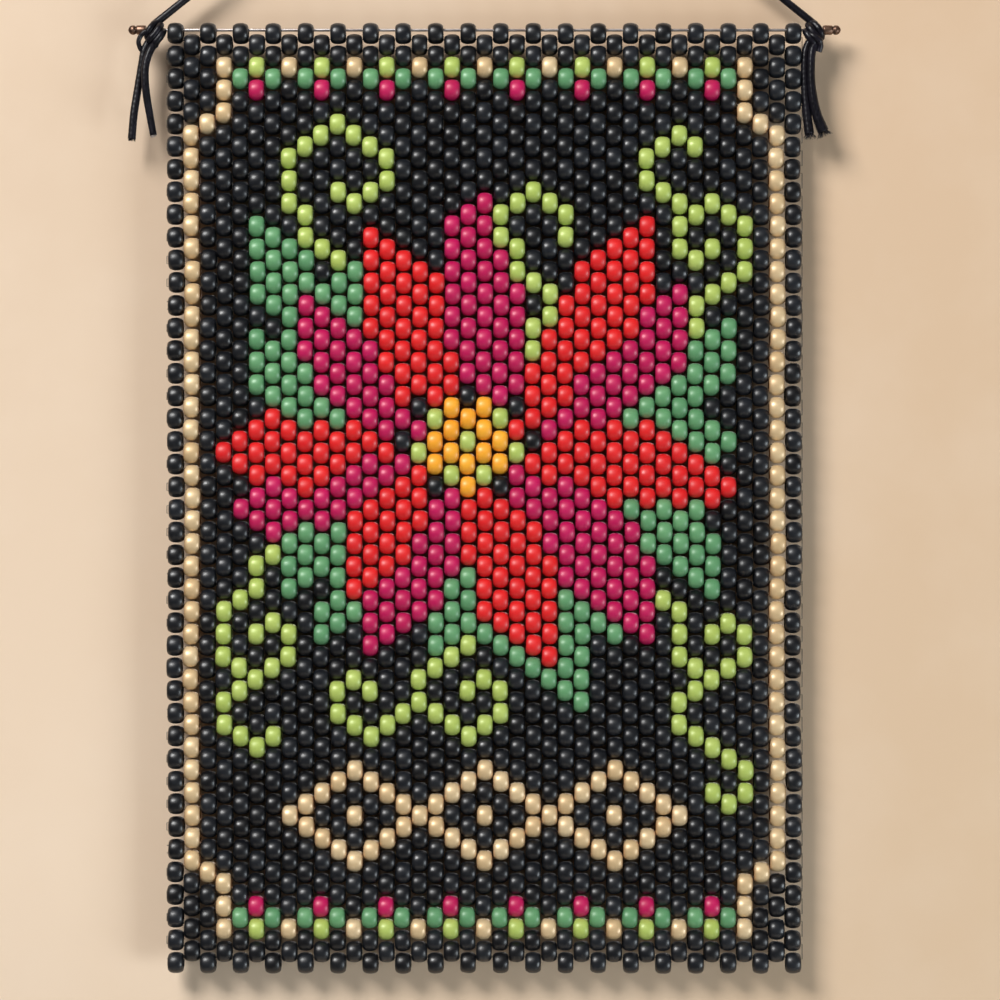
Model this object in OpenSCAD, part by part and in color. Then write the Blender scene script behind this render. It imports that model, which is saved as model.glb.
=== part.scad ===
// Beaded banner: a peyote-stitched panel of pony beads that hangs from a thin rod on a cord.
// The origin is the axis of the peg that the hanger cord loops over. +Z is up, and the
// panel's face looks along -Y. The panel folds along the thread between every two strips.

/* [Beads] */
// Outer diameter of a pony bead
bead_d = 8.7; // [8:0.1:8.7]
// Length of a pony bead along its hole
bead_len = 6; // [5.5:0.1:6]
// Diameter of the hole through a bead
bore_d = 4; // [3.8:0.1:4.2]
// Length of the sloping shoulder at each end of a bead
shoulder_len = 1.1; // [0.6:0.1:1.6]
// Drop of the shoulder from the bead's widest part to its end face
shoulder_drop = 0.9; // [0.4:0.1:1.4]

/* [Weave] */
// Distance between two beads of one column, centre to centre
row_pitch = 9; // [9:0.1:9.4]
// Distance between two columns, centre to centre
column_pitch = 6.45; // [6.4:0.05:6.8]
// Thickness of the nylon stringing thread
thread_t = 0.3; // [0.2:0.05:0.35]
// Distance of the thread above or below the middle of each pair of half-rows
thread_step = 0.75; // [0.6:0.05:0.9]

/* [Rod] */
// Diameter of the steel hanging rod
rod_d = 1.2; // [1:0.1:1.6]
// Length of the rod over its two end caps
rod_span = 283; // [282:1:300]
// Diameter of an end cap
cap_d = 3.8; // [3:0.1:4.6]
// Length of an end cap
cap_len = 7.2; // [6:0.1:7.4]

/* [Hanger] */
// Diameter of the hanger cord
cord_d = 2.8; // [2:0.1:2.9]
// Distance of each knot's middle from the panel's middle
knot_x = 130.5; // [130:0.1:130.6]
// Width of a knot along the rod
knot_len = 7.2; // [6:0.1:7.4]
// Diameter of a knot
knot_d = 8.4; // [8:0.1:9]
// Distance of a knot's middle below the rod's axis
knot_drop = 2.6; // [2:0.1:2.7]

/* [Hidden] */
$fn = 48;
play = 0.02; // gap that keeps touching pieces apart
hanger_rise = 100; // height of the peg's axis above the rod's axis
columns = 39;
last_level = 82; // half-rows, numbered from 0 at the top
strips = 7;
levels_per_strip = 12;
half_row = row_pitch / 2;
middle_column = (columns - 1) / 2;
bore_r = bore_d / 2;
rod_r = rod_d / 2;
// the top beads hang with the upper side of their holes on the rod
top_z = -hanger_rise - (bore_r - rod_r - play);

black = 0;
cream = 1;
red = 2;
magenta = 3;
green = 4;
lime = 5;
yellow = 6;
colour_names = ["black", "cream", "red", "magenta", "green", "lime", "yellow"];
colour_values = [
    [0.05, 0.05, 0.07],
    [0.93, 0.78, 0.55],
    [0.86, 0.10, 0.13],
    [0.74, 0.08, 0.33],
    [0.28, 0.62, 0.42],
    [0.66, 0.78, 0.33],
    [0.97, 0.65, 0.12]
];

// ---- The chart. A spot is [column, level]; a bead is at each spot whose two numbers are both
// ---- even or both odd. Petals and leaves are outlines in those units.
red_petals = [
    [[11.5, 17], [16.5, 21.5], [16.6, 28], [17.7, 29], [17.7, 32.5], [13.8, 32.5], [12.6, 28.4], [11.5, 27.5]],
    [[29.5, 16.4], [24.6, 20.4], [21.6, 29.6], [20.5, 35.6], [23.4, 34.6], [24.6, 31.5], [27.6, 27.4], [29.5, 23.6]],
    [[6, 33.4], [2.5, 37], [5.2, 39.8], [9, 40.6], [10.4, 38.4], [13.6, 37.2], [11.6, 34.6], [8, 34.3]],
    [[21.5, 38.4], [24.4, 34.8], [29.2, 34.4], [34.6, 39.6], [33.6, 41.8], [26.6, 41.4]],
    [[15.6, 38.4], [10.5, 42.6], [10.5, 49.8], [13.4, 47.8], [15.7, 43.4]],
    [[18.8, 40.2], [17.6, 42], [17.6, 46.4], [18.6, 48.4], [18.8, 51.8], [23.4, 55.8], [23.5, 46.8], [20.8, 41.4]]
];
magenta_petals = [
    [[19.4, 13.8], [16.5, 16.8], [16.5, 28], [18.6, 32.8], [21.5, 32.8], [21.5, 22.6]],
    [[7.5, 22.8], [12.6, 27.6], [13.6, 31], [15.6, 35.6], [12.6, 35.6], [7.5, 29.2]],
    [[31.5, 22.4], [28.6, 24.6], [22.2, 35.6], [26.4, 34.8], [31.5, 29.6]],
    [[14.8, 37.1], [5, 40], [3.4, 42.4], [6, 44.6], [10.6, 42.4]],
    [[16.8, 40.2], [14.4, 45.4], [11.5, 50], [11.5, 54.8], [16.4, 50.6], [17.4, 47.4], [17.6, 41]],
    [[20.6, 38.4], [25, 40], [27.6, 42.2], [29.6, 46.6], [29.6, 54], [24.5, 49.4], [20.6, 41.4]]
];
leaves = [
    [[4.5, 16], [4.5, 23.6], [7.4, 25.8], [11.6, 25.6], [11.6, 20.4], [10.2, 21.6], [8.8, 21.4], [8.4, 19.4]],
    [[4.5, 26.4], [7.6, 26.4], [10.6, 34.8], [7.4, 34.6], [4.5, 31.6]],
    [[34.5, 25.4], [31.6, 27.6], [27.5, 34.2], [33, 37.8], [34.5, 35.8], [32.4, 33.4], [34.5, 30.6]],
    [[27.6, 41.8], [32.6, 42], [33.6, 45], [33.6, 49.6], [28.8, 45.4]],
    [[6.8, 43.6], [11, 43.4], [11.6, 51.4], [9, 53.6], [8.6, 51], [9.6, 49.6], [9.4, 48.4], [6.4, 49.8]],
    [[18.4, 47.2], [16.2, 49.6], [15.4, 54.6], [19.4, 53.6]],
    [[23.5, 49.4], [27.5, 53.4], [25.5, 53.8], [25.5, 59.6], [23.5, 58.4]]
];
leaf_edges = [
    [[18, 52], [25, 59]]
];
scrolls = [
    [[10, 14], [11, 15], [13, 13], [13, 11], [10, 8], [7, 11], [7, 15], [8, 16], [8, 18], [10, 20]],
    [[24, 18], [24, 16], [22, 14], [20, 16], [20, 18], [21, 19], [21, 21], [23, 23], [23, 25], [22, 26], [22, 28]],
    [[32, 10], [31, 9], [29, 11], [29, 13], [31, 15], [31, 19], [32, 20], [33, 19]],
    [[32, 16], [33, 15], [35, 17], [35, 21], [32, 24], [32, 26]],
    [[6, 46], [5, 47], [5, 49], [3, 51], [3, 55], [5, 57], [3, 59], [3, 61], [5, 63], [6, 62]],
    [[5, 57], [7, 55], [7, 53], [6, 52], [5, 53]],
    [[18, 54], [15, 57], [15, 59], [18, 62], [20, 60], [20, 58], [19, 57], [18, 58]],
    [[14, 60], [12, 62], [10, 60], [10, 58], [11, 57], [12, 58]],
    [[30, 50], [31, 51], [31, 55], [33, 57], [31, 59], [31, 61], [35, 65], [35, 67], [34, 68], [33, 67]],
    [[33, 57], [35, 55], [35, 53], [34, 52], [33, 53]]
];
flower = [18, 36]; // middle of the flower's eye
eye_reach = 4; // half-rows from that middle to the eye's lower edge
eye_lime = [[16, 34], [20, 34], [18, 36], [15, 37], [21, 37], [17, 39], [19, 39]];
eye_dark = [[18, 32], [15, 33], [21, 33], [14, 36], [22, 36], [16, 40], [20, 40]];

// ---- Border and bands
side_column = 1; // column of the cream side line
side_from = 9; // first level of that line
corner_column = 3; // column of the cream corner posts
band_level = 3; // level of the cream and lime band
band_repeat = 4; // columns in which the band's pattern repeats
chain_level = 69; // level of the diamond chain's middle
chain_from = 7; // first column of the chain
chain_reach = 4; // columns from the middle of a diamond to its corner

function distance_in(value, repeat) = min(value % repeat, repeat - value % repeat);
function mirrored_column(c) = min(c, columns - 1 - c);
function mirrored_level(l) = min(l, last_level - l);
function is_between(v, a, b) = v >= min(a, b) && v <= max(a, b);
function is_on_leg(p, a, b) =
    (p[0] - a[0]) * (b[1] - a[1]) == (p[1] - a[1]) * (b[0] - a[0])
    && is_between(p[0], a[0], b[0]) && is_between(p[1], a[1], b[1]);
function is_on_path(p, path) =
    len([for (i = [1 : len(path) - 1]) if (is_on_leg(p, path[i - 1], path[i])) i]) > 0;
function crosses(p, a, b) =
    (a[1] > p[1]) != (b[1] > p[1]) && p[0] < a[0] + (b[0] - a[0]) * (p[1] - a[1]) / (b[1] - a[1]);
function is_inside(p, outline) =
    len([for (i = [0 : len(outline) - 1]) if (crosses(p, outline[i], outline[(i + 1) % len(outline)])) i]) % 2 == 1;
function on_any_path(p, paths) = len([for (path = paths) if (is_on_path(p, path)) 1]) > 0;
function in_any(p, outlines) = len([for (outline = outlines) if (is_inside(p, outline)) 1]) > 0;

// the cream line: a post at each corner, a step inwards, and a long side
function is_side_line(c, l) =
    (c == side_column && l >= side_from)
    || (c == side_column + 1 && l == side_from - 1)
    || (c == corner_column && l >= band_level && l < side_from - 1);
function band_colour(c, l) =
    l == band_level ? ((c - corner_column) % band_repeat == 0 ? cream : lime)
    : l == band_level + 1 ? green
    : (c - corner_column) % band_repeat == 0 ? black : magenta;
function is_band(c, l) = c > corner_column && l >= band_level && l <= band_level + 2;
function border_colour(c, l) = is_side_line(c, l) ? cream : is_band(c, l) ? band_colour(c, l) : black;
function chain_steps(c, l) =
    abs(distance_in(c - chain_from, 2 * chain_reach) - chain_reach) + abs(l - chain_level);
function is_chain(c, l) =
    mirrored_column(c) >= chain_from && is_between(l, chain_level - chain_reach, chain_level + chain_reach)
    && (chain_steps(c, l) == chain_reach || chain_steps(c, l) == 0);
function is_eye(c, l) =
    abs(c - flower[0]) <= 2 && abs(c - flower[0]) + abs(l - flower[1]) <= eye_reach;
function spot_colour(c, l) =
    border_colour(mirrored_column(c), mirrored_level(l)) != black
        ? border_colour(mirrored_column(c), mirrored_level(l))
    : is_chain(c, l) ? cream
    : on_any_path([c, l], scrolls) ? lime
    : search([[c, l]], eye_dark) != [[]] ? black
    : search([[c, l]], eye_lime) != [[]] ? lime
    : is_eye(c, l) ? yellow
    : in_any([c, l], red_petals) ? red
    : in_any([c, l], magenta_petals) ? magenta
    : in_any([c, l], leaves) || on_any_path([c, l], leaf_edges) ? green
    : black;

function strip_levels(s) = [levels_per_strip * (s - 1) : min(levels_per_strip * s - 1, last_level)];
function strip_spots(s) = [for (l = strip_levels(s)) for (c = [l % 2 : 2 : columns - 1]) [c, l]];
chart = [for (s = [1 : strips]) [for (p = strip_spots(s)) [p[0], p[1], spot_colour(p[0], p[1])]]];
function spots_of(s, colour) = [for (spot = chart[s - 1]) if (spot[2] == colour) spot];
function bead_node(s, colour) = str("strip_", s, "_", colour_names[colour], "_beads");
function thread_node(s) = str("strip_", s, "_thread");
bead_groups = [
    for (s = [1 : strips]) for (colour = [black : yellow]) if (len(spots_of(s, colour)) > 0) [s, colour]
];

function column_x(c) = (c - middle_column) * column_pitch;
function level_z(l) = top_z - l * half_row;

// ---- The stringing thread. Pass k runs between half-rows k - 1 and k, through the lower side of
// ---- the upper beads' holes and the upper side of the lower beads' holes, and turns at the edge.
// ---- Every second pass is solid here, and the last one of each strip is a fold's hinge line.
pass_every = 2;
turn_out = 0.6; // how far a turn stands out from the end of an edge bead
tuck_in = 2; // depth of the thread's two ends in the hole of an edge bead
edge_x = column_x(columns - 1) + bead_len / 2;
function pass_middle(k) = level_z(k) + half_row / 2;
function run_z(k, c) = pass_middle(k) + (c % 2 == (k - 1) % 2 ? thread_step : -thread_step);
function pass_way(k) = (k / pass_every) % 2 == 1 ? 1 : -1;
function pass_columns(k) = pass_way(k) > 0 ? [0 : 1 : columns - 1] : [columns - 1 : -1 : 0];
function run_end(c, side) =
    c == 0 && side < 0 || c == columns - 1 && side > 0
        ? side * (edge_x + turn_out)
        : column_x(c) + side * column_pitch / 2;
function pass_points(k) =
    [for (c = pass_columns(k)) for (side = [-pass_way(k), pass_way(k)]) [run_end(c, side), run_z(k, c)]];
function strip_passes(s) =
    [levels_per_strip * (s - 1) + pass_every : pass_every : min(levels_per_strip * s, last_level)];
function tucked_end(p) = [sign(p[0]) * (edge_x - tuck_in), p[1]];
function tucked(path) =
    let (last = len(path) - 1)
    [for (i = [0 : last]) i == 0 || i == last ? tucked_end(path[i]) : path[i]];
function thread_path(s) = tucked([for (k = strip_passes(s)) each pass_points(k)]);
function unit(v) = v / norm(v);
function left_of(v) = [-v[1], v[0]];
function offset_corner(path, i, side) =
    let (
        last = len(path) - 1,
        come = unit(i > 0 ? path[i] - path[i - 1] : path[1] - path[0]),
        go = unit(i < last ? path[i + 1] - path[i] : path[last] - path[last - 1]),
        straight = norm(come - go) < 0.01
    )
    path[i] + side * thread_t / 2 * (straight ? left_of(come) : left_of(come) + left_of(go));
function thread_outline(path) =
    let (last = len(path) - 1)
    concat(
        [for (i = [0 : last]) offset_corner(path, i, 1)],
        [for (i = [last : -1 : 0]) offset_corner(path, i, -1)]
    );

module thread(s) {
    color("dimgray")
        translate([0, thread_t / 2, 0])
            rotate([90, 0, 0])
                linear_extrude(thread_t)
                    polygon(thread_outline(thread_path(s)));
}

// ---- Beads: the hole lies along X
module bead() {
    half = bead_len / 2;
    outer = bead_d / 2;
    rotate([0, 90, 0])
        rotate_extrude()
            polygon([
                [bore_r, -half],
                [outer - shoulder_drop, -half],
                [outer, -half + shoulder_len],
                [outer, half - shoulder_len],
                [outer - shoulder_drop, half],
                [bore_r, half]
            ]);
}

module beads(s, colour) {
    color(colour_values[colour])
        for (spot = spots_of(s, colour))
            translate([column_x(spot[0]), 0, level_z(spot[1])])
                bead();
}

// ---- Rod and end caps
cap_round = 0.6; // slope at both ends of a cap
cap_inner_x = rod_span / 2 - cap_len;
cap_seat = 5; // depth of the rod in a cap

module along_x(x) {
    translate([x, 0, -hanger_rise])
        rotate([0, 90, 0])
            children();
}

module rod() {
    length = 2 * (cap_inner_x + cap_seat - play);
    color("silver")
        along_x(-length / 2)
            cylinder(h = length, d = rod_d);
}

module end_cap() {
    cap_r = cap_d / 2;
    difference() {
        rotate_extrude()
            polygon([
                [0, 0],
                [cap_r - cap_round, 0],
                [cap_r, cap_round],
                [cap_r, cap_len - cap_round],
                [cap_r - cap_round, cap_len],
                [0, cap_len]
            ]);
        translate([0, 0, -1])
            cylinder(h = cap_seat + 1, d = rod_d + 2 * play);
    }
}

module left_cap() {
    color([0.36, 0.24, 0.17])
        mirror([1, 0, 0])
            along_x(cap_inner_x)
                end_cap();
}

module right_cap() {
    color([0.36, 0.24, 0.17])
        along_x(cap_inner_x)
            end_cap();
}

// ---- Knots and cord. The cord is tied round the rod between the panel and each cap.
knot_waist = 2.2; // length of the slope at each end of a knot
knot_neck = 3.4; // radius of a knot at its ends
cord_sides = 8;
ring_step = 7; // distance between two rings of the cord's tube

// points of the cord's route, [x, y, z] from the peg's axis, left to right
hanger_route = [
    [-131.5, 0, -98], [-120, 0, -88.8], [-105, 0, -76.8], [-90, 0, -64.8], [-75, 0, -52.8], [-60, 0, -40.8],
    [-45, 0, -28.8], [-30, 0, -16.8], [-18, 0, -7.2], [-9, 0, 0], [-3.5, 0, 4.4], [0, 0, 5.6],
    [3.5, 0, 4.4], [9, 0, 0], [18, 0, -7.2], [30, 0, -16.8], [45, 0, -28.8], [60, 0, -40.8],
    [75, 0, -52.8], [90, 0, -64.8], [105, 0, -76.8], [120, 0, -88.8], [131.5, 0, -98]
];
left_tail_routes = [
    [[-133.2, -1, -104.8], [-134.9, -1.4, -108.5], [-135.9, -1.4, -114], [-136.9, -1.4, -120],
        [-138, -1.6, -127], [-139, -2, -134], [-139.8, -2, -143.5]],
    [[-130.2, -1, -104.8], [-132.3, -2.9, -108.5], [-134, -3.6, -114], [-134.3, -3.8, -120],
        [-133.7, -3.2, -127], [-132.6, -2.4, -134], [-131.2, -2, -142]]
];
right_tail_routes = [
    [[128.8, -0.6, -104.8], [127.4, -1, -108.5], [127.1, -1.2, -114], [127.1, -1.4, -120],
        [127.4, -1.6, -127], [128, -1.8, -134], [128.8, -2, -141.5]],
    [[131.8, -1.6, -104.8], [130.4, -2.6, -108.5], [130, -3, -114], [130.2, -3, -120],
        [131, -2.6, -127], [132.5, -2.2, -134], [134.6, -2, -140.5]]
];

function blend_points(a, b, c, d, t) =
    0.5 * (2 * b + (c - a) * t + (2 * a - 5 * b + 4 * c - d) * t * t + (3 * b - a - 3 * c + d) * t * t * t);
function leg_steps(a, b) = max(1, ceil(norm(b - a) / ring_step));
function smooth_route(route) =
    let (last = len(route) - 1)
    concat(
        [
            for (i = [0 : last - 1])
                let (
                    a = route[max(i - 1, 0)],
                    b = route[i],
                    c = route[i + 1],
                    d = route[min(i + 2, last)],
                    n = leg_steps(b, c)
                )
                for (j = [0 : n - 1]) blend_points(a, b, c, d, j / n)
        ],
        [route[last]]
    );
function heading(line, i) = unit(line[min(i + 1, len(line) - 1)] - line[max(i - 1, 0)]);
function ring_at(line, i) =
    let (
        ahead = heading(line, i),
        across = unit(cross(ahead, [0, 1, 0])),
        up = cross(across, ahead)
    )
    [
        for (k = [0 : cord_sides - 1])
            line[i] + cord_d / 2 * (cos(360 * k / cord_sides) * across + sin(360 * k / cord_sides) * up)
    ];

module cord(route) {
    line = smooth_route(route);
    rings = len(line);
    points = [for (i = [0 : rings - 1]) each ring_at(line, i)];
    walls = [
        for (i = [0 : rings - 2])
            for (k = [0 : cord_sides - 1])
                let (a = i * cord_sides, next = (k + 1) % cord_sides)
                [a + k, a + next, a + cord_sides + next, a + cord_sides + k]
    ];
    first_end = [for (k = [cord_sides - 1 : -1 : 0]) k];
    last_end = [for (k = [0 : cord_sides - 1]) (rings - 1) * cord_sides + k];
    polyhedron(points, concat(walls, [first_end], [last_end]));
}

module hanger_cord() {
    color([0.08, 0.07, 0.08])
        cord(hanger_route);
}

module tails(routes) {
    color([0.08, 0.07, 0.08])
        for (route = routes)
            cord(route);
}

module left_tails() {
    tails(left_tail_routes);
}

module right_tails() {
    tails(right_tail_routes);
}

module knot(x) {
    half = knot_len / 2;
    color([0.1, 0.09, 0.1])
        difference() {
            translate([0, 0, -knot_drop])
                along_x(x)
                    rotate_extrude()
                        polygon([
                            [0, -half],
                            [knot_neck, -half],
                            [knot_d / 2, -half + knot_waist],
                            [knot_d / 2, half - knot_waist],
                            [knot_neck, half],
                            [0, half]
                        ]);
            along_x(x - knot_len)
                cylinder(h = 2 * knot_len, r = rod_r + play);
        }
}

module left_knot() {
    knot(-knot_x);
}

module right_knot() {
    knot(knot_x);
}

hanger_cord();
left_knot();
right_knot();
left_tails();
right_tails();
rod();
left_cap();
right_cap();
for (g = bead_groups)
    beads(g[0], g[1]);
for (s = [1 : strips])
    thread(s);
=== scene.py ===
"""Looks of the beaded banner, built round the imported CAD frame.

Everything is in metres in the row frame: the origin is the peg's axis, +Z is up, and the face
looks along -Y.
"""

import math

import bmesh
import bpy
import numpy as np
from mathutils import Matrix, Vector


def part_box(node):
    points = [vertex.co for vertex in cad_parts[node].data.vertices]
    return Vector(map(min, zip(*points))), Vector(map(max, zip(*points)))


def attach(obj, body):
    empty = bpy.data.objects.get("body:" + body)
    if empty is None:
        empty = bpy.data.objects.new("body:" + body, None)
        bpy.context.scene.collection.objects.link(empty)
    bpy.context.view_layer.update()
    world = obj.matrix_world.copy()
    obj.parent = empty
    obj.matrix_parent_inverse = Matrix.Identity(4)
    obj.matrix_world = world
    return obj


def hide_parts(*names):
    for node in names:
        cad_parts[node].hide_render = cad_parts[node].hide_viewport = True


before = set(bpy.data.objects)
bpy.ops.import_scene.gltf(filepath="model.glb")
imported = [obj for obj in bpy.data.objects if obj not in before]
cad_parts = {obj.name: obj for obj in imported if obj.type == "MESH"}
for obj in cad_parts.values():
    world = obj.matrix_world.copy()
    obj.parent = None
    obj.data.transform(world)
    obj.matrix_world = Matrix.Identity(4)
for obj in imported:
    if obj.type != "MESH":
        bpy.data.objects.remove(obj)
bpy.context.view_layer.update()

MM = 0.001
COLOURS = ("black", "cream", "red", "magenta", "green", "lime", "yellow")
STRIPS = 7
COLUMNS = 39
LAST_LEVEL = 82
LEVELS_PER_STRIP = 12
COLUMN_PITCH = 6.45 * MM
HALF_ROW = 4.5 * MM
MIDDLE_COLUMN = (COLUMNS - 1) / 2
CAD_BEAD_R = 4.35 * MM
BEAD_R = 4.22 * MM
BEAD_HALF = 3.1 * MM
ROD_Z = -100 * MM
TOP_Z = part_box("strip_1_black_beads")[1].z - CAD_BEAD_R
PANEL_MIDDLE = Vector((0, 0, TOP_Z - LAST_LEVEL / 2 * HALF_ROW))
draws = np.random.default_rng(29)

# ---- Camera: the photo looks straight at the panel from in front of its middle
CAMERA_LENS = 100
SENSOR_WIDTH = 36
NEAREST_SEEN, FARTHEST_SEEN = 0.05, 20
CAMERA_DISTANCE = 1.103
CAMERA_X = 6.15 * MM
CAMERA_Z = -286.6 * MM


def make_camera():
    data = bpy.data.cameras.new("camera")
    data.lens = CAMERA_LENS
    data.sensor_width = SENSOR_WIDTH
    data.clip_start = NEAREST_SEEN
    data.clip_end = FARTHEST_SEEN
    camera = bpy.data.objects.new("camera", data)
    camera.location = (CAMERA_X, -CAMERA_DISTANCE, CAMERA_Z)
    camera.rotation_euler = (math.radians(90), 0, 0)
    bpy.context.scene.collection.objects.link(camera)
    bpy.context.scene.camera = camera


make_camera()


# ---- Node helpers
def put(tree, socket, value):
    if isinstance(value, bpy.types.NodeSocket):
        tree.links.new(value, socket)
    else:
        socket.default_value = value


def node(tree, kind, inputs=None, **settings):
    made = tree.nodes.new("ShaderNode" + kind)
    for name, value in settings.items():
        setattr(made, name, value)
    for name, value in (inputs or {}).items():
        put(tree, made.inputs[name], value)
    return made


def colour_of(rgb):
    return (*rgb, 1.0)


def mixed(tree, factor, first, second):
    made = node(tree, "Mix", data_type="RGBA")
    put(tree, made.inputs[0], factor)
    put(tree, made.inputs[6], first if isinstance(first, bpy.types.NodeSocket) else colour_of(first))
    put(tree, made.inputs[7], second if isinstance(second, bpy.types.NodeSocket) else colour_of(second))
    return made.outputs[2]


def maths(tree, operation, first, second=0.0):
    return node(tree, "Math", {0: first, 1: second}, operation=operation).outputs[0]


def ranged(tree, value, source, target):
    """The value with its range source stretched to the range target, and held inside it."""
    inputs = {"Value": value}
    inputs["From Min"], inputs["From Max"] = source
    inputs["To Min"], inputs["To Max"] = target
    return node(tree, "MapRange", inputs).outputs[0]


def place(tree, scale=(1, 1, 1)):
    """Object coordinates in metres, stretched by scale."""
    coordinates = node(tree, "TexCoord")
    mapping = node(tree, "Mapping", {"Vector": coordinates.outputs["Object"], "Scale": scale})
    return mapping.outputs[0]


def noise_at(tree, scale, stretch=(1, 1, 1), detail=2.0, rough=0.5):
    inputs = {"Vector": place(tree, stretch), "Scale": scale, "Detail": detail, "Roughness": rough}
    return node(tree, "TexNoise", inputs).outputs[0]


def attribute(tree, name):
    return node(tree, "Attribute", attribute_name=name).outputs["Fac"]


def bump(tree, height, distance, strength=1.0, normal=None):
    inputs = {"Height": height, "Distance": distance, "Strength": strength}
    if normal is not None:
        inputs["Normal"] = normal
    return node(tree, "Bump", inputs).outputs[0]


def shader(name):
    """A new material with one Principled shader, and its node tree."""
    material = bpy.data.materials.new(name)
    material.use_nodes = True
    tree = material.node_tree
    surface = tree.nodes["Principled BSDF"]
    return material, tree, surface


# ---- Materials
# the middle values of a noise, and a share from none to all
MID_NOISE = (0.3, 0.7)
WHOLE = (0.0, 1.0)
# base colour, deeper colour of the same plastic, painted shade colour at the bead's ends and in its hole,
# share of pearl
PLASTICS = {
    "black": ((0.010, 0.012, 0.016), (0.002, 0.002, 0.003), (0.001, 0.001, 0.002), 0.0),
    "cream": ((0.71, 0.545, 0.325), (0.60, 0.42, 0.22), (0.34, 0.13, 0.035), 1.0),
    "red": ((0.68, 0.014, 0.014), (0.60, 0.009, 0.011), (0.26, 0.002, 0.005), 0.0),
    "magenta": ((0.50, 0.006, 0.093), (0.43, 0.004, 0.072), (0.15, 0.001, 0.022), 0.25),
    "green": ((0.130, 0.32, 0.140), (0.095, 0.26, 0.115), (0.016, 0.09, 0.034), 0.25),
    "lime": ((0.42, 0.52, 0.125), (0.36, 0.46, 0.095), (0.11, 0.15, 0.018), 0.3),
    "yellow": ((0.86, 0.41, 0.030), (0.80, 0.32, 0.018), (0.42, 0.09, 0.004), 0.2),
}
BLACK_ROUGHNESS = (0.30, 0.46)
COLOURED_ROUGHNESS = (0.38, 0.54)
PEARL_METALLIC = 0.25
COAT, PEARL_COAT = 0.05, 0.2


def plastic(colour):
    base, deep, rim_shade, pearl = PLASTICS[colour]
    material, tree, surface = shader(colour + "_plastic")
    batch = mixed(tree, attribute(tree, "tint"), base, deep)
    streak = noise_at(tree, scale=420, stretch=(0.35, 1, 1), detail=3.0, rough=0.55)
    clouded = mixed(tree, ranged(tree, streak, (0.35, 0.7), (0.0, 0.55)), batch, deep)
    # painted shade: towards the bead's ends and in its hole, where neighbouring beads meet, the colour
    # darkens to the rim shade colour
    rim_shaded = mixed(tree, attribute(tree, "rim_shade"), clouded, rim_shade)
    put(tree, surface.inputs["Base Color"], rim_shaded)
    grain = noise_at(tree, scale=1500, detail=3.0, rough=0.6)
    scuff = noise_at(tree, scale=260, detail=2.0, rough=0.6)
    roughness = BLACK_ROUGHNESS if colour == "black" else COLOURED_ROUGHNESS
    put(tree, surface.inputs["Roughness"], ranged(tree, scuff, MID_NOISE, roughness))
    put(tree, surface.inputs["Normal"], bump(tree, grain, distance=0.03 * MM, strength=0.35))
    surface.inputs["Metallic"].default_value = PEARL_METALLIC * pearl
    surface.inputs["Specular IOR Level"].default_value = 0.5
    surface.inputs["Coat Weight"].default_value = COAT + PEARL_COAT * pearl
    surface.inputs["Coat Roughness"].default_value = 0.2
    return material


def cord_black():
    """Waxed, braided cord: the crossing strands follow each tube's own along and turn values."""
    material, tree, surface = shader("cord_black")
    along, turn = attribute(tree, "along"), attribute(tree, "turn")
    advance = maths(tree, "MULTIPLY", along, 2 * math.pi / BRAID_PITCH)
    spin = maths(tree, "MULTIPLY", turn, 2 * math.pi * BRAID_LOBES)
    rising = maths(tree, "SINE", maths(tree, "ADD", spin, advance))
    falling = maths(tree, "SINE", maths(tree, "SUBTRACT", spin, advance))
    braid = maths(tree, "MULTIPLY", rising, falling)
    fibre = noise_at(tree, scale=2200, stretch=(1, 1, 0.3), detail=3.0, rough=0.6)
    wear = noise_at(tree, scale=160, detail=2.0, rough=0.6)
    share = ranged(tree, fibre, MID_NOISE, WHOLE)
    dark = mixed(tree, share, (0.0015, 0.0015, 0.002), (0.007, 0.006, 0.010))
    worn = mixed(tree, ranged(tree, wear, (0.5, 0.75), (0.0, 0.6)), dark, (0.014, 0.012, 0.020))
    put(tree, surface.inputs["Base Color"], worn)
    put(tree, surface.inputs["Roughness"], ranged(tree, fibre, MID_NOISE, (0.26, 0.44)))
    woven = bump(tree, braid, distance=0.04 * MM, strength=0.6)
    put(tree, surface.inputs["Normal"], bump(tree, fibre, distance=0.05 * MM, strength=0.5, normal=woven))
    surface.inputs["Specular IOR Level"].default_value = 0.25
    return material


def fibre_pale():
    """The cord's undyed core, seen where an end is cut."""
    material, tree, surface = shader("fibre_pale")
    fluff = noise_at(tree, scale=3000, stretch=(1, 1, 0.3), detail=2.0, rough=0.6)
    tone = mixed(tree, ranged(tree, fluff, MID_NOISE, WHOLE), (0.30, 0.24, 0.21), (0.55, 0.47, 0.43))
    put(tree, surface.inputs["Base Color"], tone)
    put(tree, surface.inputs["Roughness"], ranged(tree, fluff, MID_NOISE, (0.7, 0.9)))
    put(tree, surface.inputs["Normal"], bump(tree, fluff, distance=0.05 * MM, strength=0.6))
    return material


def thread_grey():
    material, tree, surface = shader("thread_grey")
    ply = noise_at(tree, scale=3500, stretch=(0.3, 1, 1), detail=2.0, rough=0.6)
    wax = noise_at(tree, scale=400, detail=2.0, rough=0.5)
    tone = mixed(tree, ranged(tree, ply, MID_NOISE, WHOLE), (0.010, 0.010, 0.012), (0.030, 0.029, 0.032))
    put(tree, surface.inputs["Base Color"], tone)
    put(tree, surface.inputs["Roughness"], ranged(tree, wax, MID_NOISE, (0.35, 0.6)))
    put(tree, surface.inputs["Normal"], bump(tree, ply, distance=0.04 * MM, strength=0.5))
    return material


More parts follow.
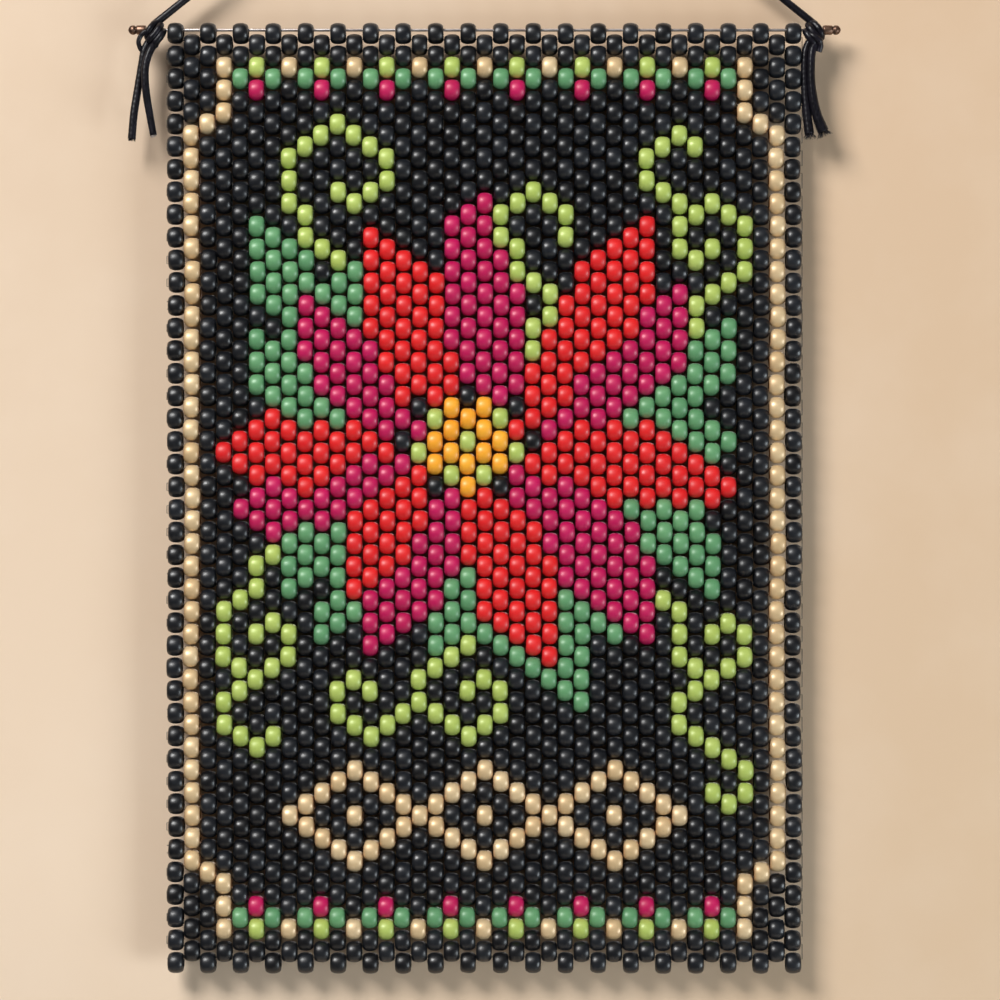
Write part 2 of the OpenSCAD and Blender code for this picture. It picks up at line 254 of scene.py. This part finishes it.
def rod_steel():
    """Bright drawn wire with fine lengthwise lines and a faint warm tarnish."""
    material, tree, surface = shader("rod_steel")
    drawn = noise_at(tree, scale=4000, stretch=(0.02, 1, 1), detail=2.0, rough=0.6)
    tarnish = noise_at(tree, scale=90, detail=3.0, rough=0.6)
    tone = mixed(tree, ranged(tree, tarnish, (0.4, 0.7), (0.0, 0.7)), (0.80, 0.74, 0.72), (0.55, 0.42, 0.36))
    put(tree, surface.inputs["Base Color"], tone)
    put(tree, surface.inputs["Roughness"], ranged(tree, drawn, MID_NOISE, (0.22, 0.4)))
    put(tree, surface.inputs["Normal"], bump(tree, drawn, distance=0.01 * MM, strength=0.4))
    surface.inputs["Metallic"].default_value = 0.9
    return material


def cap_metal():
    """Dark antique copper plating, rubbed brighter on its high edges."""
    material, tree, surface = shader("cap_metal")
    blotch = noise_at(tree, scale=500, detail=4.0, rough=0.6)
    pits = noise_at(tree, scale=2500, detail=2.0, rough=0.6)
    share = ranged(tree, blotch, (0.35, 0.65), WHOLE)
    aged = mixed(tree, share, (0.050, 0.027, 0.018), (0.13, 0.072, 0.048))
    rubbed = mixed(tree, attribute(tree, "rubbed"), aged, (0.27, 0.16, 0.11))
    put(tree, surface.inputs["Base Color"], rubbed)
    put(tree, surface.inputs["Roughness"], ranged(tree, blotch, MID_NOISE, (0.28, 0.5)))
    put(tree, surface.inputs["Normal"], bump(tree, pits, distance=0.03 * MM, strength=0.4))
    surface.inputs["Metallic"].default_value = 0.85
    return material


# ---- Mesh helpers
def scaled(values):
    return np.array(values, float) * MM


def catmull_rom(route, step):
    """A smooth line through a route's points, with a point about every step along it."""
    route = np.asarray(route, float)
    last = len(route) - 1
    line = []
    for i in range(last):
        a, b, c, d = route[max(i - 1, 0)], route[i], route[i + 1], route[min(i + 2, last)]
        count = max(1, math.ceil(np.linalg.norm(c - b) / step))
        for t in np.arange(count) / count:
            bend = (c - a) * t + (2 * a - 5 * b + 4 * c - d) * t**2 + (3 * b - a - 3 * c + d) * t**3
            line.append(b + bend / 2)
    line.append(route[last])
    return np.array(line)


def lengths_along(path):
    return np.concatenate([[0], np.cumsum(np.linalg.norm(np.diff(path, axis=0), axis=1))])


def across(path):
    """Two directions across a path at each point, carried along it without twist."""
    ahead = np.gradient(path, axis=0)
    ahead /= np.linalg.norm(ahead, axis=1)[:, None]
    side = np.cross(ahead[0], (0, 1, 0))
    if np.linalg.norm(side) < 0.1:
        side = np.cross(ahead[0], (1, 0, 0))
    sides = []
    for direction in ahead:
        side = side - direction * np.dot(side, direction)
        side = side / np.linalg.norm(side)
        sides.append(side)
    sides = np.array(sides)
    return sides, np.cross(ahead, sides)


def tube(path, radii, sides, relief=None):
    """A closed tube: its points, faces, and for each point the distance along it and the turn round it."""
    path = np.asarray(path, float)
    radii = np.broadcast_to(np.asarray(radii, float), (len(path),))
    side, up = across(path)
    turns = np.arange(sides) / sides
    along = lengths_along(path)
    grid_along, grid_turn = np.meshgrid(along, turns, indexing="ij")
    reach = radii[:, None] * (1 if relief is None else 1 + relief(grid_along, grid_turn))
    angle = 2 * np.pi * grid_turn
    rings = (
        path[:, None]
        + (reach * np.cos(angle))[..., None] * side[:, None]
        + (reach * np.sin(angle))[..., None] * up[:, None]
    )
    points = np.concatenate([rings.reshape(-1, 3), path[:1], path[-1:]])
    start, end = len(points) - 2, len(points) - 1
    last_ring = (len(path) - 1) * sides
    faces = []
    for i in range(len(path) - 1):
        for k in range(sides):
            a, b = i * sides + k, i * sides + (k + 1) % sides
            faces.append((a, b, b + sides, a + sides))
    for k in range(sides):
        faces.append((start, (k + 1) % sides, k))
        faces.append((end, last_ring + k, last_ring + (k + 1) % sides))
    return {
        "points": points,
        "faces": faces,
        "along": np.concatenate([grid_along.ravel(), along[:1], along[-1:]]),
        "turn": np.concatenate([grid_turn.ravel(), [0.5, 0.5]]),
    }


def joined(parts):
    """Several tubes as one."""
    whole = {"points": [], "faces": [], "along": [], "turn": []}
    count = 0
    for part in parts:
        whole["faces"] += [tuple(v + count for v in face) for face in part["faces"]]
        for key in ("points", "along", "turn"):
            whole[key].append(part[key])
        count += len(part["points"])
    return {key: value if key == "faces" else np.concatenate(value) for key, value in whole.items()}


def add_floats(mesh, values):
    for name, value in values.items():
        layer = mesh.attributes.new(name, "FLOAT", "POINT")
        layer.data.foreach_set("value", np.asarray(value, np.float32).ravel())


def add_object(name, mesh, material, body):
    mesh.polygons.foreach_set("use_smooth", np.ones(len(mesh.polygons), bool))
    mesh.materials.append(material)
    made = bpy.data.objects.new(name, mesh)
    bpy.context.scene.collection.objects.link(made)
    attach(made, body)
    return made


def tube_object(name, part, material, body):
    mesh = bpy.data.meshes.new(name)
    mesh.from_pydata(part["points"].tolist(), [], part["faces"])
    add_floats(mesh, {"along": part["along"], "turn": part["turn"]})
    return add_object(name, mesh, material, body)


# ---- Cord: one hanger and four tails, along the routes of part.scad. The right tails lie closer
# ---- together than there, side by side down to their ends
CORD_R = 1.4 * MM
CORD_SWELL = 1.07
CORD_SIDES = 24
CORD_STEP = 0.6 * MM
BRAID_PITCH = 4.2 * MM
BRAID_LOBES = 4
BRAID_RELIEF = 0.018
LEFT_HALF_OF_HANGER = [
    (-131.5, 0, -98), (-120, 0, -88.8), (-105, 0, -76.8), (-90, 0, -64.8), (-75, 0, -52.8), (-60, 0, -40.8),
    (-45, 0, -28.8), (-30, 0, -16.8), (-18, 0, -7.2), (-9, 0, 0), (-3.5, 0, 4.4),
]
HANGER_ROUTE = scaled(
    LEFT_HALF_OF_HANGER + [(0, 0, 5.6)] + [(-x, y, z) for x, y, z in reversed(LEFT_HALF_OF_HANGER)]
)
TAIL_ROUTES = {
    "left_tail_outer": scaled([
        (-133.2, -1, -104.8), (-134.9, -1.4, -108.5), (-135.9, -1.4, -114), (-136.9, -1.4, -120),
        (-138, -1.6, -127), (-139, -2, -134), (-139.8, -2, -143.5),
    ]),
    "left_tail_inner": scaled([
        (-130.2, -1, -104.8), (-132.3, -2.9, -108.5), (-134, -3.6, -114), (-134.3, -3.8, -120),
        (-133.7, -3.2, -127), (-132.6, -2.4, -134), (-131.2, -2, -142),
    ]),
    "right_tail_inner": scaled([
        (128.8, -0.6, -104.8), (127.4, -0.9, -108.5), (127, -1.1, -114), (127, -1.2, -120),
        (127.3, -1.4, -127), (127.9, -1.7, -134), (128.8, -2, -141.5),
    ]),
    "right_tail_outer": scaled([
        (131.8, -1.6, -104.8), (129.9, -2.7, -108.5), (129.4, -3.1, -114), (129.4, -3.1, -120),
        (130.1, -2.9, -127), (131.7, -2.4, -134), (134.3, -2, -140.5),
    ]),
}
FLARE = {"left_tail_outer": 0.12, "left_tail_inner": 0.0, "right_tail_inner": 0.35, "right_tail_outer": 0.6}
FLARE_LENGTH = 28 * MM
FIBRES_PER_END = 46
FIBRE_ROOT = 2 * MM
FIBRE_STEP = 0.5 * MM
FIBRE_SIDES = 6
FIBRE_THICK, FIBRE_THIN = 0.14 * MM, 0.07 * MM
# fibres stand within this share of the cord's radius, and the shortest has this share of the reach
FIBRES_WITHIN = 0.85
SHORTEST_FIBRE = 0.5
LEAN_HALFWAY = 0.35
# how far a side's loose fibres lean out for their length, and the longest of them
FRAY = {"left": (0.2, 0.9 * MM), "right": (0.9, 2.2 * MM)}


def braid(along, turn):
    rising = np.sin(2 * np.pi * (BRAID_LOBES * turn + along / BRAID_PITCH))
    falling = np.sin(2 * np.pi * (BRAID_LOBES * turn - along / BRAID_PITCH))
    return BRAID_RELIEF * rising * falling


def cord_radii(path, flare):
    """The cord's radius along a path, a little uneven, and wider near its far end by the share flare."""
    along = lengths_along(path)
    uneven = 1 + 0.03 * np.sin(along / (9 * MM)) + 0.02 * np.sin(along / (3.7 * MM) + 1)
    to_end = np.clip(1 - (along[-1] - along) / FLARE_LENGTH, 0, 1)
    return CORD_SWELL * CORD_R * uneven * (1 + flare * to_end**2)


def make_hanger(material):
    path = catmull_rom(HANGER_ROUTE, CORD_STEP)
    part = tube(path, cord_radii(path, 0), CORD_SIDES, braid)
    made = tube_object("hanger", part, material, "hanger")
    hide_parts("hanger_cord")


def frayed_end(path, radius, spread, reach):
    """Loose fibres that stand out of the cut end of a cord of this radius."""
    side, up = across(path)
    heading = path[-1] - path[-4]
    heading /= np.linalg.norm(heading)
    fibres = []
    for _ in range(FIBRES_PER_END):
        angle = draws.uniform(0, 2 * np.pi)
        out = math.sqrt(draws.uniform(0, 1))
        radial = math.cos(angle) * side[-1] + math.sin(angle) * up[-1]
        root = path[-1] - heading * FIBRE_ROOT + radial * out * radius * FIBRES_WITHIN
        length = reach * draws.uniform(SHORTEST_FIBRE, 1)
        lean = radial * out * spread * length
        cut = root + heading * FIBRE_ROOT
        route = [root, cut, cut + heading * length / 2 + lean * LEAN_HALFWAY, cut + heading * length + lean]
        line = catmull_rom(route, FIBRE_STEP)
        fibres.append(tube(line, np.linspace(FIBRE_THICK, FIBRE_THIN, len(line)), FIBRE_SIDES))
    return joined(fibres)


def make_tail(name, black, pale):
    route = TAIL_ROUTES[name]
    path = catmull_rom(route, CORD_STEP)
    radii = cord_radii(path, FLARE[name])
    part = tube(path, radii, CORD_SIDES, braid)
    made = tube_object(name, part, black, "hanger")
    side = name.split("_")[0]
    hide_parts(side + "_tails")
    light_core = name == "left_tail_inner"
    fibres = frayed_end(path, radii[-1], *FRAY[side])
    ends = tube_object(name + "_fibres", fibres, pale if light_core else black, "hanger")


black_cord = cord_black()
make_hanger(black_cord)
pale_core = fibre_pale()
for tail in TAIL_ROUTES:
    make_tail(tail, black_cord, pale_core)


# ---- Knots: the cord goes over the rod, round it twice and through itself. The points are
# ---- (towards the panel's middle is plus, y, height above the rod's axis) from the knot's middle.
KNOT_X = 130.5 * MM
STRAND_R = 1.42 * MM
KNOT_WRAP = [
    (0.8, -0.2, 3), (-0.6, -1.6, 1.9), (-2, -2.6, 0), (-3, -2, -2), (-3, 0.2, -3.2), (-1.6, 2.2, -2.2),
    (0.2, 2.6, 0), (1.5, 1.4, 1.8), (2, -1, 1.7), (1.4, -2.9, 0.1), (0, -3.3, -2), (-1.8, -2.9, -3.9),
    (-2.4, -0.8, -5.2), (-1, 1.6, -4.9), (0.9, 2.6, -3), (2.3, 1.8, -1.2), (2.9, -0.4, -0.6),
    (2.6, -2.6, -1.9),
    (1.5, -3.1, -3.7), (0.2, -2.8, -5.2), (-0.2, -1.6, -6.6),
]
LEFT_LOOP = [
    (-1.2, -2.2, -0.6), (-3.8, -2.5, -1), (-5.7, -2.3, -2.7), (-6.6, -2.1, -5), (-6, -1.9, -7.4),
    (-4.9, -1.7, -9.2), (-4.7, -1.5, -10.8),
]
RIGHT_LOOP = [(2, -2.4, -1.4), (0.4, -4, -3), (-1.8, -4, -4.6), (-2.6, -2.6, -6.6), (-2, -2, -9)]
LEFT_LOOP_R = 0.95 * MM
RIGHT_LOOP_R = 1.2 * MM
KNOT_STEP = 0.4 * MM
KNOT_SIDES = 20


def make_knot(side, loop, loop_r, material):
    across_way = 1 if side == "left" else -1
    parts = []
    for route, radius in ((KNOT_WRAP, STRAND_R), (loop, loop_r)):
        points = [(across_way * (u * MM - KNOT_X), y * MM, ROD_Z + w * MM) for u, y, w in route]
        path = catmull_rom(points, KNOT_STEP)
        parts.append(tube(path, radius, KNOT_SIDES, braid))
    made = tube_object(side + "_tied_knot", joined(parts), material, "hanger")
    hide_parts(side + "_knot")


make_knot("left", LEFT_LOOP, LEFT_LOOP_R, black_cord)
make_knot("right", RIGHT_LOOP, RIGHT_LOOP_R, black_cord)

# ---- End caps: (distance from the cap's inner end, radius) in mm
CAP_INNER_X = 134.3 * MM
CAP_OUTLINE = [
    (5, 0), (5, 0.64), (0.2, 0.64), (0, 0.8), (0, 1.5), (0.22, 1.8), (0.6, 1.88), (3.3, 1.9), (3.65, 1.74),
    (3.9, 1.5), (4.1, 1.45), (4.3, 1.6), (4.6, 1.82), (5.2, 1.9), (5.9, 1.78), (6.5, 1.4), (6.95, 0.85),
    (7.2, 0),
]
CAP_SIDES = 40
# the plating is rubbed where the cap stands out past this radius, and most at its full radius
RUBBED_FROM, CAP_R = 1.78, 1.9
MOST_RUBBED = 0.6


def make_cap(side, material):
    way = -1 if side == "left" else 1
    outline = scaled(CAP_OUTLINE)
    angles = np.arange(CAP_SIDES) * 2 * np.pi / CAP_SIDES
    points, faces, rubbed = [], [], []
    for distance, radius in outline:
        for angle in angles:
            x = way * (CAP_INNER_X + distance)
            points.append((x, radius * math.cos(angle), ROD_Z + radius * math.sin(angle)))
        share = max(0.0, (radius / MM - RUBBED_FROM) / (CAP_R - RUBBED_FROM))
        rubbed += [share * MOST_RUBBED] * CAP_SIDES
    for i in range(len(outline) - 1):
        for k in range(CAP_SIDES):
            a, b = i * CAP_SIDES + k, i * CAP_SIDES + (k + 1) % CAP_SIDES
            faces.append((a, b, b + CAP_SIDES, a + CAP_SIDES)[::way])
    mesh = bpy.data.meshes.new(side + "_end_cap")
    mesh.from_pydata(points, [], faces)
    add_floats(mesh, {"rubbed": rubbed})
    weld_and_face_out(mesh)
    made = add_object(side + "_end_cap", mesh, material, "hanger")
    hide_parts(side + "_cap")


def weld_and_face_out(mesh):
    """Joins the points on the axis, and turns every face outwards."""
    shape = bmesh.new()
    shape.from_mesh(mesh)
    bmesh.ops.remove_doubles(shape, verts=shape.verts, dist=1e-6)
    bmesh.ops.recalc_face_normals(shape, faces=shape.faces)
    shape.to_mesh(mesh)
    shape.free()


copper = cap_metal()
make_cap("left", copper)
make_cap("right", copper)
steel = rod_steel()
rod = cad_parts["rod"]
rod.data.materials.clear()
rod.data.materials.append(steel)

# ---- Beads
BEAD_SIDES = 24
BEAD_ROUNDNESS = 2.2
BEAD_END_R = 2.5 * MM
BEAD_OUTLINE_POINTS = 12
# how steeply the painted rim shade rises from the bead's belly to its ends
RIM_SHADE_FALLOFF = 1.6
# (share of the half length, radius in mm) along a bead's hole
HOLE_OUTLINE = [(-0.98, 2.16), (-0.9, 2.03), (0, 2.0), (0.9, 2.03), (0.98, 2.16)]
DRIFT_SETTLES_OVER = 60 * MM
# spread and limit of the beads' tilts in degrees, and the spread of their places
ROLL, MOST_ROLL = 1.4, 2.6
YAW, MOST_YAW = 1.5, 2.8
JITTER = (0.03 * MM, 0.06 * MM, 0.05 * MM)


def bead_outline():
    """(along the hole, from its axis) round a bead's section, outside first, then back in the hole."""
    turns = np.linspace(0, np.pi, BEAD_OUTLINE_POINTS)
    along = BEAD_HALF * np.sign(np.cos(turns)) * np.abs(np.cos(turns)) ** (2 / BEAD_ROUNDNESS)
    out = BEAD_END_R + (BEAD_R - BEAD_END_R) * np.abs(np.sin(turns)) ** (2 / BEAD_ROUNDNESS)
    hole = [(share * BEAD_HALF, radius * MM) for share, radius in HOLE_OUTLINE]
    return np.concatenate([np.stack([along, out], 1), np.array(hole)])


def bead_shape():
    """One bead's points, quads and painted rim shade values. Its hole lies along X."""
    outline = bead_outline()
    angles = np.arange(BEAD_SIDES) * 2 * np.pi / BEAD_SIDES
    points = np.array([
        (along, out * math.cos(angle), out * math.sin(angle)) for along, out in outline for angle in angles
    ])
    count = len(outline)
    quads = np.array([
        (
            i * BEAD_SIDES + k,
            i * BEAD_SIDES + (k + 1) % BEAD_SIDES,
            (i + 1) % count * BEAD_SIDES + (k + 1) % BEAD_SIDES,
            (i + 1) % count * BEAD_SIDES + k,
        )
        for i in range(count)
        for k in range(BEAD_SIDES)
    ])
    corner = points[quads[0]]
    outward = np.cross(corner[1] - corner[0], corner[3] - corner[0])
    if np.dot(outward, corner.mean(0)) < 0:
        quads = quads[:, ::-1]
    reach = np.hypot(points[:, 1], points[:, 2])
    # painted shade mask: 0 on the bead's belly, rising to 1 at its ends and through its hole
    rim_shade = np.clip((BEAD_R - reach) / (BEAD_R - BEAD_END_R), 0, 1) ** RIM_SHADE_FALLOFF
    return points, quads, rim_shade


def bead_spots(node_name):
    """The [column, level] of each bead of a CAD node, read from where its points are."""
    points = np.empty(len(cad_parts[node_name].data.vertices) * 3)
    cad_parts[node_name].data.vertices.foreach_get("co", points)
    points = points.reshape(-1, 3)
    column = np.rint(points[:, 0] / COLUMN_PITCH + MIDDLE_COLUMN).astype(int)
    odd = column % 2
    level = 2 * np.rint(((TOP_Z - points[:, 2]) / HALF_ROW - odd) / 2).astype(int) + odd
    return np.unique(np.stack([column, level], 1), axis=0)


def weave_drift(x, z):
    """How far the hand-stitched weave strays from an even grid, in x and in z: slow waves, all under
    half a millimetre, that die out towards the rod."""
    settled = np.clip((TOP_Z - z) / DRIFT_SETTLES_OVER, 0, 1)
    sideways = 0.22 * np.sin(z * 61 + 1.1) + 0.16 * np.sin(z * 143 + x * 12) + 0.1 * np.sin(z * 31 - x * 27)
    upright = 0.1 * np.sin(x * 47 + 0.7) + 0.06 * np.sin(x * 119 + z * 21)
    return sideways * settled * MM, upright * settled * MM


def tilts(count):
    """A small turn for each bead, as matrices: its hole is never quite level or square to the view."""
    roll = np.radians(np.clip(draws.normal(0, ROLL, count), -MOST_ROLL, MOST_ROLL))
    yaw = np.radians(np.clip(draws.normal(0, YAW, count), -MOST_YAW, MOST_YAW))
    matrices = np.zeros((count, 3, 3))
    matrices[:] = np.eye(3)
    matrices[:, 0, 2], matrices[:, 2, 0] = np.sin(roll), -np.sin(roll)
    matrices[:, 0, 1], matrices[:, 1, 0] = -np.sin(yaw), np.sin(yaw)
    return matrices


def make_beads(strip, colour, material, shape):
    cad_name = f"strip_{strip}_{colour}_beads"
    spots = bead_spots(cad_name)
    base, quads, rim_shade = shape
    x = (spots[:, 0] - MIDDLE_COLUMN) * COLUMN_PITCH
    z = TOP_Z - spots[:, 1] * HALF_ROW
    drift_x, drift_z = weave_drift(x, z)
    jitter = np.clip(draws.normal(0, 1, (len(spots), 3)), -2, 2) * JITTER
    centres = np.stack([x + drift_x, np.zeros(len(spots)), z + drift_z], 1) + jitter
    points = np.einsum("bij,pj->bpi", tilts(len(spots)), base) + centres[:, None]
    faces = (quads[None] + (np.arange(len(spots)) * len(base))[:, None, None]).reshape(-1, 4)
    mesh = bpy.data.meshes.new(cad_name + "_moulded")
    mesh.vertices.add(len(spots) * len(base))
    mesh.vertices.foreach_set("co", points.astype(np.float32).ravel())
    mesh.loops.add(faces.size)
    mesh.loops.foreach_set("vertex_index", faces.astype(np.int32).ravel())
    mesh.polygons.add(len(faces))
    mesh.polygons.foreach_set("loop_start", np.arange(0, faces.size, 4, dtype=np.int32))
    mesh.update(calc_edges=True)
    tint = draws.uniform(0, 1, len(spots))
    # each bead carries its random tint and the painted rim shade mask to the material
    add_floats(mesh, {"tint": np.repeat(tint, len(base)), "rim_shade": np.tile(rim_shade, len(spots))})
    made = add_object(mesh.name, mesh, material, f"strip_{strip}")
    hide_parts(cad_name)


plastics = {colour: plastic(colour) for colour in COLOURS}
moulded = bead_shape()
for strip_number in range(1, STRIPS + 1):
    for bead_colour in COLOURS:
        if f"strip_{strip_number}_{bead_colour}_beads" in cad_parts:
            make_beads(strip_number, bead_colour, plastics[bead_colour], moulded)

# ---- Thread: pass k runs through the lower side of the holes above it and the upper side of those
# ---- below it, across the panel and back, and turns at the edges
THREAD_R = 0.15 * MM
THREAD_SIDES = 6
THREAD_STEP = 0.75 * MM
TURN_OUT = 0.45 * MM
EDGE_X = MIDDLE_COLUMN * COLUMN_PITCH + BEAD_HALF
IN_HOLE = 0.4


def pass_points(k):
    middle = TOP_Z - (k - 0.5) * HALF_ROW
    way = 1 if k % 2 else -1
    points = []
    for column in range(COLUMNS)[::way]:
        z = middle + (THREAD_STEP if column % 2 == (k - 1) % 2 else -THREAD_STEP)
        for side in (-way, way):
            x = (column - MIDDLE_COLUMN + side * IN_HOLE) * COLUMN_PITCH
            drift_x, drift_z = weave_drift(np.array(x), np.array(z))
            points.append((x + drift_x, 0, z + drift_z))
    first, last = points[0], points[-1]
    points.insert(0, (-way * (EDGE_X + TURN_OUT), 0, first[2]))
    points.append((way * (EDGE_X + TURN_OUT), 0, last[2]))
    return points


def make_thread(strip, material):
    first = LEVELS_PER_STRIP * (strip - 1) + 1
    last = min(LEVELS_PER_STRIP * strip, LAST_LEVEL)
    path = []
    for k in range(first, last + 1):
        path += pass_points(k)
    part = tube(path, THREAD_R, THREAD_SIDES)
    made = tube_object(f"strip_{strip}_stitching", part, material, f"strip_{strip}")
    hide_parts(f"strip_{strip}_thread")


nylon = thread_grey()
for strip_number in range(1, STRIPS + 1):
    make_thread(strip_number, nylon)


# ---- Stage: a plain pale floor, a wall close behind the panel, and soft light
WALL_Y = 10.5 * MM
FLOOR_Z = -1.5
FLOOR_HALF = 0.8
# the wall's colours at its corners, with painted light in them: lightest low on the left, darker to the
# right and higher up
WALL_LEFT_TOP = (0.599, 0.460, 0.338)
WALL_LEFT_LOW = (0.727, 0.571, 0.428)
WALL_RIGHT_TOP = (0.597, 0.428, 0.289)
WALL_RIGHT_LOW = (0.622, 0.456, 0.309)
WALL_MOTTLE = (0.78, 0.66, 0.54)
MATT_ROUGHNESS, MATT_SPECULAR = 0.9, 0.1
WALL_HALF = 0.6
WALL_TOP = 0.6
# the wall's colour changes evenly between these places: painted light, lightest low on the left and darker
# to the right and higher up
PAINTED_LIGHT_ACROSS = (-0.17, 0.17)
PAINTED_LIGHT_DOWN = (-0.14, -0.43)
# the wall clears wherever the model is behind it and nearer than this: fully where the open share of
# the directions behind it is under the first value, and not at all over the second
CLEARS_WITHIN = 0.4
CLEARS_BETWEEN = (0.95, 0.995)
FLOOR_PAINT = (0.86, 0.79, 0.70)
AMBIENT_COLOUR = (1.0, 0.97, 0.94)
AMBIENT_STRENGTH = 0.10
# the backdrop changes evenly between these X values of the direction of sight: painted light, lighter to the
# left and darker to the right
BACKDROP_ACROSS = (-0.16, 0.16)
BACKDROP_LEFT = (0.81, 0.625, 0.46)
BACKDROP_RIGHT = (0.70, 0.51, 0.335)
BACKDROP_CLOUD = (0.84, 0.68, 0.51)
# name, place from the panel's middle, width, watts, tint, and how often its light may bounce:
# the back light doesn't bounce, so the gaps between the beads stay dark
LIGHTS = (
    ("key", (-0.78, -1.15, 1.05), 0.7, 39, (1.0, 0.99, 0.98), 12),
    ("fill", (1.4, -0.95, -0.6), 0.8, 20.8, (0.86, 0.95, 1.0), 12),
    ("back", (0.45, 1.25, 0.8), 1.3, 44, (1.0, 0.97, 0.93), 0),
)


def stage_material(name, rgb):
    material, tree, surface = shader(name)
    mottle = noise_at(tree, scale=9, detail=4.0, rough=0.55)
    tone = mixed(tree, ranged(tree, mottle, (0.35, 0.65), WHOLE), rgb, tuple(0.93 * c for c in rgb))
    put(tree, surface.inputs["Base Color"], tone)
    surface.inputs["Roughness"].default_value = MATT_ROUGHNESS
    surface.inputs["Specular IOR Level"].default_value = MATT_SPECULAR
    return material


def stage_sheet(name, corners, material):
    mesh = bpy.data.meshes.new(name)
    mesh.from_pydata(corners, [], [(0, 1, 2, 3)])
    mesh.materials.append(material)
    made = bpy.data.objects.new(name, mesh)
    bpy.context.scene.collection.objects.link(made)
    return made


def wall_material():
    """Wall paint with painted light, lightest low on the left and darker to the right and higher up, that
    shows from the front only, and clears where the model has moved behind the wall.
    """
    material, tree, surface = shader("wall_paint_and_painted_light")
    point = node(tree, "SeparateXYZ", {"Vector": node(tree, "TexCoord").outputs["Object"]})
    to_right = ranged(tree, point.outputs["X"], PAINTED_LIGHT_ACROSS, WHOLE)
    to_low = ranged(tree, point.outputs["Z"], PAINTED_LIGHT_DOWN, WHOLE)
    left_side = mixed(tree, to_low, WALL_LEFT_TOP, WALL_LEFT_LOW)
    right_side = mixed(tree, to_low, WALL_RIGHT_TOP, WALL_RIGHT_LOW)
    # painted light: the wall's colour is lightest low on the left and darker to the right and higher up
    paint_and_painted_light = mixed(tree, to_right, left_side, right_side)
    mottle = ranged(tree, noise_at(tree, scale=14, detail=4.0, rough=0.6), (0.4, 0.65), (0.0, 0.12))
    put(tree, surface.inputs["Base Color"], mixed(tree, mottle, paint_and_painted_light, WALL_MOTTLE))
    surface.inputs["Roughness"].default_value = MATT_ROUGHNESS
    surface.inputs["Specular IOR Level"].default_value = MATT_SPECULAR
    behind = node(tree, "AmbientOcclusion", {"Distance": CLEARS_WITHIN}, inside=True, samples=8)
    crossed = ranged(tree, behind.outputs["AO"], CLEARS_BETWEEN, (1.0, 0.0))
    rear = node(tree, "NewGeometry").outputs["Backfacing"]
    mix = node(tree, "MixShader")
    put(tree, mix.inputs[0], maths(tree, "MAXIMUM", crossed, rear))
    put(tree, mix.inputs[1], surface.outputs[0])
    put(tree, mix.inputs[2], node(tree, "BsdfTransparent").outputs[0])
    put(tree, tree.nodes["Material Output"].inputs["Surface"], mix.outputs[0])
    return material


def make_stage():
    near, far = -FLOOR_HALF, FLOOR_HALF
    floor_corners = [(near, near, FLOOR_Z), (far, near, FLOOR_Z), (far, far, FLOOR_Z), (near, far, FLOOR_Z)]
    stage_sheet("floor", floor_corners, stage_material("floor_paint", FLOOR_PAINT))
    left, right, top = -WALL_HALF, WALL_HALF, WALL_TOP
    wall_outline = ((left, FLOOR_Z), (right, FLOOR_Z), (right, top), (left, top))
    wall_corners = [(x, WALL_Y, z) for x, z in wall_outline]
    wall = stage_sheet("wall", wall_corners, wall_material())
    wall.visible_shadow = False


def make_world():
    world = bpy.data.worlds.new("world")
    world.use_nodes = True
    bpy.context.scene.world = world
    tree = world.node_tree
    ambient = tree.nodes["Background"]
    ambient.inputs["Color"].default_value = colour_of(AMBIENT_COLOUR)
    ambient.inputs["Strength"].default_value = AMBIENT_STRENGTH
    direction = node(tree, "TexCoord").outputs["Generated"]
    mottle = node(tree, "TexNoise", {"Vector": direction, "Scale": 22.0, "Detail": 4.0, "Roughness": 0.6})
    way_right = node(tree, "SeparateXYZ", {"Vector": direction}).outputs["X"]
    # painted light: the backdrop seen by the camera is lighter to the left and darker to the right
    lit_side = mixed(tree, ranged(tree, way_right, BACKDROP_ACROSS, WHOLE), BACKDROP_LEFT, BACKDROP_RIGHT)
    cloud = ranged(tree, mottle.outputs[0], (0.35, 0.65), (0.0, 0.35))
    tone = mixed(tree, cloud, lit_side, BACKDROP_CLOUD)
    seen = node(tree, "Background", {"Color": tone, "Strength": 1.0})
    path = node(tree, "LightPath")
    shown = node(tree, "MixShader")
    put(tree, shown.inputs[0], path.outputs["Is Camera Ray"])
    put(tree, shown.inputs[1], ambient.outputs[0])
    put(tree, shown.inputs[2], seen.outputs[0])
    put(tree, tree.nodes["World Output"].inputs["Surface"], shown.outputs[0])


def make_light(name, offset, size, watts, tint, bounces):
    data = bpy.data.lights.new(name, "AREA")
    data.shape = "SQUARE"
    data.size = size
    data.energy = watts
    data.color = tint
    data.cycles.max_bounces = bounces
    made = bpy.data.objects.new(name, data)
    made.location = PANEL_MIDDLE + Vector(offset)
    made.rotation_euler = (-Vector(offset)).to_track_quat("-Z", "Y").to_euler()
    bpy.context.scene.collection.objects.link(made)


make_stage()
make_world()
for light in LIGHTS:
    make_light(*light)
bpy.context.scene.view_settings.view_transform = "Standard"
